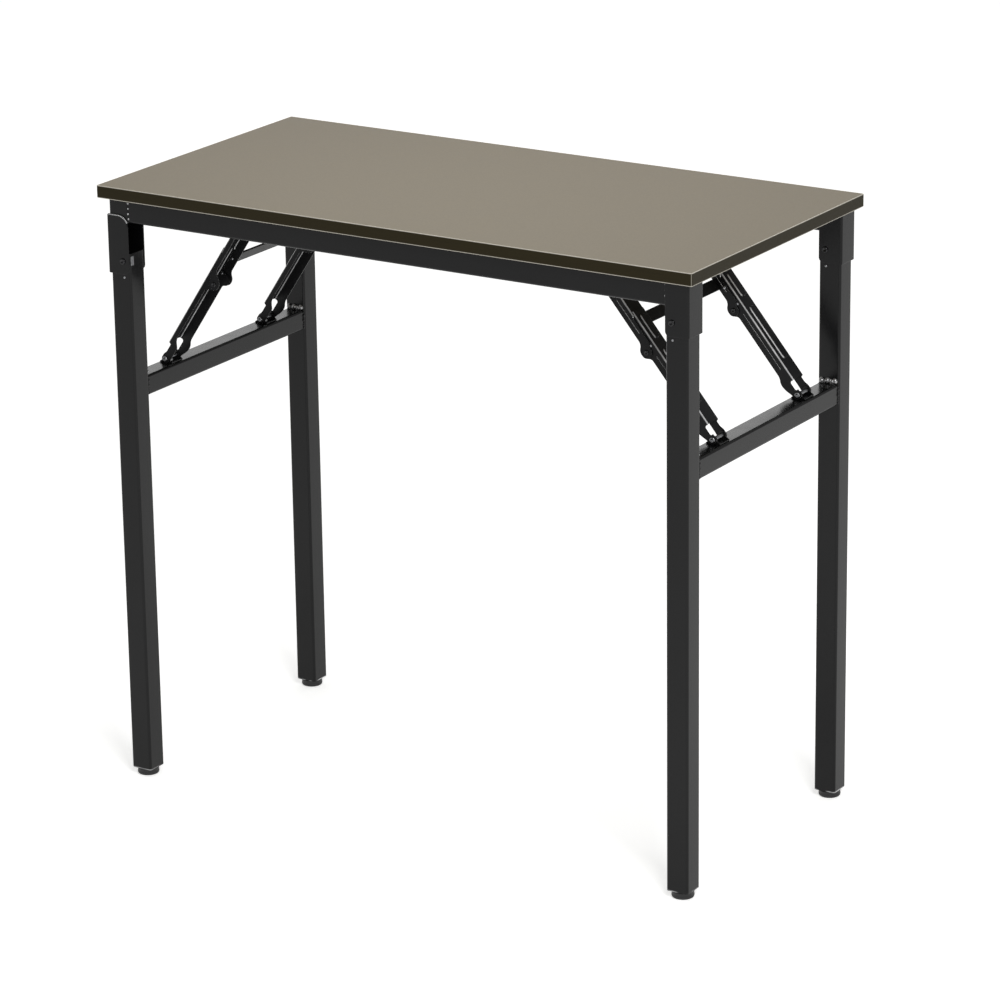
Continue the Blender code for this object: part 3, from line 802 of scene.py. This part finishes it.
# Where a rib's middle lies across the brace, and how far it stands out
UPPER_RIB, LOWER_RIB = (0.6, 0.4 * MM), (-0.5, 0.29 * MM)
# The tie bar's rivet: radius, rise and half its grip, and its place back from the knuckle
TIE_RIVET = (1.9 * MM, 0.8 * MM, 0.6 * MM)
TIE_BACK, TIE_DROP = 27.5, -0.5
# Beads on the lower web: half width, rise above the web and root below it
BEAD_HALF, BEAD_RISE, BEAD_ROOT = 6, 1.6, 1
BEAD_ROUND, BEAD_CHAMFER, BEAD_EASE = 5.8 * MM, 1.15 * MM, 0.25 * MM
CREST_DEPTH = 0.01 * MM
# Stop rivet: radius, rise of its outer and inner heads, and its place past the knuckle
STOP_RADIUS, STOP_OUTER, STOP_INNER = 1.5 * MM, 0.28 * MM, 0.7 * MM
STOP_PAST, STOP_DROP = 3.5, -1.7


def brace_place(side, sign, end, swing):
    """Placement at a brace pin: X down the brace, Y to its inward side."""
    anchor = Vector(joints[f"upper_swing_{side}"]["pos_m"])
    foot = Vector(joints[f"lower_swing_{side}_{end}"]["pos_m"])
    down = Vector((foot.x - anchor.x, 0, foot.z - anchor.z)).normalized()
    inward = Vector((sign * down.z, 0, -abs(down.x)))
    origin = Vector((anchor.x, foot.y, anchor.z)) if swing == "upper" else foot
    return axes(origin, down, inward)


def notch(form, side, corners):
    """Cut a rounded outline out of one flange: the one at local Z above or below zero."""

    def on_flange(face):
        return side * face.normal.z > ALIGNED

    outline = plate_form(corners)
    outline.faces.ensure_lookup_table()
    shape = outline.faces[0]
    middle = shape.calc_center_median()
    cuts = []
    for edge in shape.edges:
        start, stop = (point.co.copy() for point in edge.verts)
        out = Vector((stop.y - start.y, start.x - stop.x, 0)).normalized()
        cuts.append((start, out if out.dot(start - middle) > 0 else -out))
    outline.free()
    for point, out in cuts:
        form.normal_update()
        parts = {part for f in form.faces if on_flange(f) for part in (f, *f.edges, *f.verts)}
        bmesh.ops.bisect_plane(
            form, geom=list(parts), dist=SAME_POINT, plane_co=point, plane_no=out
        )

    def inside(face):
        spot = face.calc_center_median()
        return on_flange(face) and all(out.dot(spot - point) < 0 for point, out in cuts)

    drop_faces(form, inside)


def make_rib(name, node, place, run, skin, middle, proud):
    """Fine rib pressed along a flange whose outer skin is at this local Z."""
    out = math.copysign(1, skin)
    root, crest = skin - out * RIB_ROOT, skin + out * proud
    start, stop = run
    low = Vector((start * MM, (middle - RIB_HALF) * MM, min(root, crest)))
    high = Vector((stop * MM, (middle + RIB_HALF) * MM, max(root, crest)))
    form = box_form(low, high)
    rim = [e for e in form.edges if all(out * v.co.z > out * skin for v in e.verts)]
    round_edges(form, rim, RIB_CHAMFER * proud, 1)
    bmesh.ops.transform(form, matrix=place, verts=form.verts)
    piece(name, form, HIGHLIT_BRACE_COAT, node, stands=False)


def make_upper_link(side, sign, end):
    """Upper channel with its knuckle heads, its rib and the rivet of the tie bar."""
    tag = f"{side}_{end}"
    node = f"upper_link_{tag}"
    reach = REACHES[side][0]
    place = brace_place(side, sign, end, "upper")
    corners = [
        (-6, UPPER_WEB, 5.9), (reach - 10, UPPER_WEB, 3), (reach - 4, 0, 2.5), (reach + 7, 0, 6.8),
        (reach + 7, 14, 6.8), (reach - 5.5, 14, 4), (reach - 11, LOW_EDGE, 4), (11, LOW_EDGE, 4),
        (2, 6, 2), (-6, 6, 5.9),
    ]
    windows = ((-8 * MM, 12 * MM, False), ((reach - 41) * MM, (reach + 9) * MM, True))
    form = channel_form(corners, UPPER_WIDTH, LINK_BEND, UPPER_WEB * MM, windows)
    notch(form, -LOBE_SIDE, [(4, 16, 0), (10, 1, 3), (reach - 16, 1, 3), (reach - 4, 16, 0)])
    merge_flats(form)
    bmesh.ops.transform(form, matrix=place, verts=form.verts)
    piece(f"brace_upper_{tag}", form, HIGHLIT_BRACE_COAT, node, wall=LINK_SHEET, ease=LINK_EASE)
    for face, label in ((-1, "a"), (1, "b")):
        head = head_profile(*KNUCKLE_HEAD, 0) + [(0, -KNUCKLE_ROOT)]
        spot = place @ Matrix.Translation((reach * MM, KNUCKLE_DROP * MM, face * UPPER_WIDTH / 2))
        form = lathe_form(head, spot @ Matrix.Rotation(0 if face > 0 else math.pi, 4, "X"))
        piece(f"knuckle_head_{tag}_{label}", form, BLACKENED, node, stands=False)

    outer = LOBE_SIDE * UPPER_WIDTH / 2
    run = (reach - 67, reach - 22)
    make_rib(f"brace_rib_upper_{tag}", node, place, run, outer, *UPPER_RIB)

    # The tie bar's rivet, through the flange that faces the other brace
    head = dome(*TIE_RIVET)
    profile = head + [(radius, -height) for radius, height in reversed(head)]
    inner = place.inverted() @ Vector((0, 0, 0))
    facing = math.copysign((UPPER_WIDTH - LINK_SHEET) / 2, inner.z)
    spot = place @ Matrix.Translation(((reach - TIE_BACK) * MM, TIE_DROP * MM, facing))
    piece(f"tie_rivet_{tag}", lathe_form(profile, spot), ZINC, node, stands=False)


def make_lower_link(side, sign, end):
    """Lower channel, whose web laps over the upper one, with its beads, stop rivet and rib."""
    tag = f"{side}_{end}"
    node = f"lower_link_{tag}"
    reach = REACHES[side][1]
    web_end = WEB_ENDS[side]
    place = brace_place(side, sign, end, "lower")
    tail = -reach - LAP
    skin = LOWER_WEB + LINK_SHEET / MM
    corners = [
        (tail, skin, 0), (tail, LOWER_WEB, 0), (web_end, LOWER_WEB, 0.6), (web_end + 0.7, -3, 1),
        (-9, -3, 2), (-5, -4.8, 2), (5, -4.8, 4.7), (5, 5, 4.8), (-3, 6.2, 3), (-12, 10, 4),
        (-21, LOBE_TOP, 3.5), (-28, LOW_EDGE, 3), (-reach + 9, LOW_EDGE, 3),
        (-reach + 5.5, 13, 5.5), (-reach - 6, 13, 5.8), (-reach - 6, -2.8, 2),
        (-reach - 40.5, -2.8, 2), (-reach - 42, skin, 0),
    ]
    form = channel_form(corners, LOWER_WIDTH, LINK_BEND, LOWER_WEB * MM, ())
    notch(form, LOBE_SIDE, [(web_end, -9, 0), (web_end, -1, 2.4), (-5, -1, 2), (-5, -9, 0)])
    shallow = -LOBE_SIDE
    notch(form, shallow, [(-reach + 4.5, 15, 0), (-reach + 13.5, 0, 3), (-31, 0, 4), (-12, 15, 0)])
    notch(form, shallow, [(-26, 15, 0), (-25, 6.6, 1), (-5, 6.6, 1), (-2, 15, 0)])
    merge_flats(form)
    bmesh.ops.transform(form, matrix=place, verts=form.verts)
    piece(f"brace_lower_{tag}", form, HIGHLIT_BRACE_COAT, node, wall=LINK_SHEET, ease=LINK_EASE)
    for label, start, stop in (
        ("lap", tail + 6, -reach - 7), ("body", -reach + 6, -reach + 79)
    ):
        low = Vector((start, LOWER_WEB - BEAD_RISE, -BEAD_HALF)) * MM
        high = Vector((stop, LOWER_WEB + BEAD_ROOT, BEAD_HALF)) * MM
        bead = box_form(low, high)
        round_edges(bead, edges_along(bead, Y), BEAD_ROUND, 8)
        crest = [e for e in bead.edges if all(v.co.y < low.y + CREST_DEPTH for v in e.verts)]
        round_edges(bead, crest, BEAD_CHAMFER, 1)
        bmesh.ops.transform(bead, matrix=place, verts=bead.verts)
        piece(f"brace_bead_{label}_{tag}", bead, HIGHLIT_BRACE_COAT, node, stands=False, ease=BEAD_EASE)

    # Stop rivet above the knuckle, in the deeper flange
    outer = LOBE_SIDE * LOWER_WIDTH / 2
    head = dome(STOP_RADIUS, STOP_OUTER, 0) + [(STOP_RADIUS, -LINK_SHEET)]
    inner_head = dome(STOP_RADIUS, STOP_INNER, 0)
    head += [(radius, -LINK_SHEET - height) for radius, height in reversed(inner_head)]
    spot = place @ Matrix.Translation(((-reach - STOP_PAST) * MM, STOP_DROP * MM, outer))
    rivet = lathe_form(head, spot @ Matrix.Rotation(math.pi, 4, "X"))
    piece(f"stop_rivet_{tag}", rivet, ZINC, node, stands=False)

    run = (-reach + 10, -35)
    make_rib(f"brace_rib_lower_{tag}", node, place, run, outer, *LOWER_RIB)


# Welds

# Size of a run's drops, and how far each may stray
BAR_TOP_WELD, BAR_TOP_STRAY = Vector((3, 3.1, 3.3)) * MM, 1.3 * MM
BAR_SIDE_WELD, BAR_SIDE_STRAY = Vector((1.3, 1.6, 2.2)) * MM, 0.25 * MM
RAIL_WELD, RAIL_STRAY = Vector((1.2, 1, 1.5)) * MM, 0.2 * MM
# How far the runs stop short of the edges, and how high the top one lies on the bar
BAR_INSET, BAR_LIFT = 3 * MM, 2.5 * MM
RAIL_FOOT, RAIL_HEAD = 5 * MM, 4 * MM


def make_welds(side, sign, end, back):
    """Welds of a crossbar's end, and of a rail's end."""
    tag = f"{side}_{end}"
    # Crossbar to leg: along the top of the bar's end and down its two sides
    node = f"leg_crossbar_{side}"
    low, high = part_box(node)
    wall = back * high.y
    inside, outside = low.x + BAR_INSET, high.x - BAR_INSET
    lift = Vector((0, 0, BAR_LIFT))
    path = between(Vector((inside, wall, high.z)) + lift, Vector((outside, wall, high.z)) + lift, 8)
    top = weld_form(path, BAR_TOP_WELD, BAR_TOP_STRAY)
    piece(f"bar_weld_top_{tag}", top, WELD, node, stands=False)
    for x, label in ((low.x, "a"), (high.x, "b")):
        start, stop = Vector((x, wall, low.z + BAR_INSET)), Vector((x, wall, high.z - BAR_INSET))
        run = weld_form(between(start, stop, 7), BAR_SIDE_WELD, BAR_SIDE_STRAY)
        piece(f"bar_weld_{label}_{tag}", run, COAT, node, stands=False)

    # Bracket or post to the end of the rail: a short upright run on the outer face
    low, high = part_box(f"rail_{end}")
    face = back * max(abs(low.y), abs(high.y))
    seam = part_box(f"bracket_{side}_{end}")[0].x if sign > 0 else low.x
    start, stop = Vector((seam, face, low.z + RAIL_FOOT)), Vector((seam, face, high.z - RAIL_HEAD))
    run = weld_form(between(start, stop, 4), RAIL_WELD, RAIL_STRAY)
    piece(f"rail_weld_{tag}", run, WELD, f"rail_{end}", stands=False)


make_top()
make_tubes()
for side, sign in SIDES:
    softened(f"tie_bar_{side}", f"brace_tie_{side}", HIGHLIT_BRACE_COAT, TIE_EASE)
    for end, back in ENDS:
        make_leg(side, sign, end, back)
        make_bracket(side, sign, end, back)
        make_rivets(side, end)
        make_glide(side, end)
        make_board_screw(side, end)
        make_upper_link(side, sign, end)
        make_lower_link(side, sign, end)
        make_welds(side, sign, end, back)


# Floor, light and camera

FLOOR_HALF = 12
FLOOR_GLOW = 0.57
ROOM_GLOW = 0.4
# Soft boxes: place, target, width and height, and watts
SOFT_BOXES = {
    "overhead_box": ((-0.05, -0.05, 1.8), (-0.05, 0, 0.74), (0.7, 0.6), 8.2),
    "back_box": ((-2.5, 4.0, 2.1), (0, 0, 0.55), (3.2, 1.4), 20),
    "key_box": ((2.4, -2.1, 2.8), (0, 0, 0.55), (1.2, 1.2), 66),
}
# The photograph's viewpoint: where the lens stands, how it looks down and turns, and its length
EYE = (2.6461, -4.1402, 1.9791)
AZIMUTH, LOOK_DOWN, ROLL = 32.33, 18.23, -0.79
LENS, SENSOR = 157.1, 36


def studio_floor():
    """Opal acrylic sweep, lit from below: white and matt, with a faint tooth."""
    white = linear("#F6F6F5")
    material, tree, shader, place = finish(
        "opal_acrylic_sweep", "",
        {
            "Base Color": white, "Roughness": 0.9,
            "Emission Color": white, "Emission Strength": FLOOR_GLOW,
        },
    )
    tooth = add_node(
        tree, "ShaderNodeTexNoise", {"Scale": per_mm(4), "Detail": 2}, {"Vector": place}
    )
    skin = add_node(
        tree, "ShaderNodeBump", {"Strength": 0.05, "Distance": 0.1 * MM},
        {"Height": tooth.outputs["Fac"]},
    )
    tree.links.new(skin.outputs["Normal"], shader.inputs["Normal"])
    form = bmesh.new()
    bmesh.ops.create_grid(form, x_segments=1, y_segments=1, size=FLOOR_HALF)
    mesh = bpy.data.meshes.new("floor")
    form.to_mesh(mesh)
    form.free()
    mesh.materials.append(material)
    floor = bpy.data.objects.new("floor", mesh)
    bpy.context.scene.collection.objects.link(floor)


def studio_light():
    """White room light and the soft boxes, each turned to its target."""
    world = bpy.data.worlds.new("studio")
    world.use_nodes = True
    world.node_tree.nodes["Background"].inputs["Color"].default_value = (1, 1, 1, 1)
    world.node_tree.nodes["Background"].inputs["Strength"].default_value = ROOM_GLOW
    bpy.context.scene.world = world
    for name, (place, target, size, watts) in SOFT_BOXES.items():
        lamp = bpy.data.lights.new(name, "AREA")
        lamp.shape = "RECTANGLE"
        lamp.size, lamp.size_y = size
        lamp.energy = watts
        made = bpy.data.objects.new(name, lamp)
        made.location = place
        made.rotation_euler = (Vector(target) - Vector(place)).to_track_quat("-Z", "Y").to_euler()
        bpy.context.scene.collection.objects.link(made)


def photo_camera():
    """Camera at the photograph's viewpoint."""
    camera = bpy.data.objects.new("photo_view", bpy.data.cameras.new("photo_view"))
    camera.data.sensor_width = SENSOR
    camera.data.lens = LENS
    turn = Matrix.Rotation(math.radians(AZIMUTH), 4, "Z")
    tilt = Matrix.Rotation(math.radians(90 - LOOK_DOWN), 4, "X")
    roll = Matrix.Rotation(math.radians(ROLL), 4, "Z")
    camera.matrix_world = Matrix.Translation(EYE) @ turn @ tilt @ roll
    bpy.context.scene.collection.objects.link(camera)
    bpy.context.scene.camera = camera


studio_floor()
studio_light()
photo_camera()
bpy.context.scene.view_settings.view_transform = "Standard"
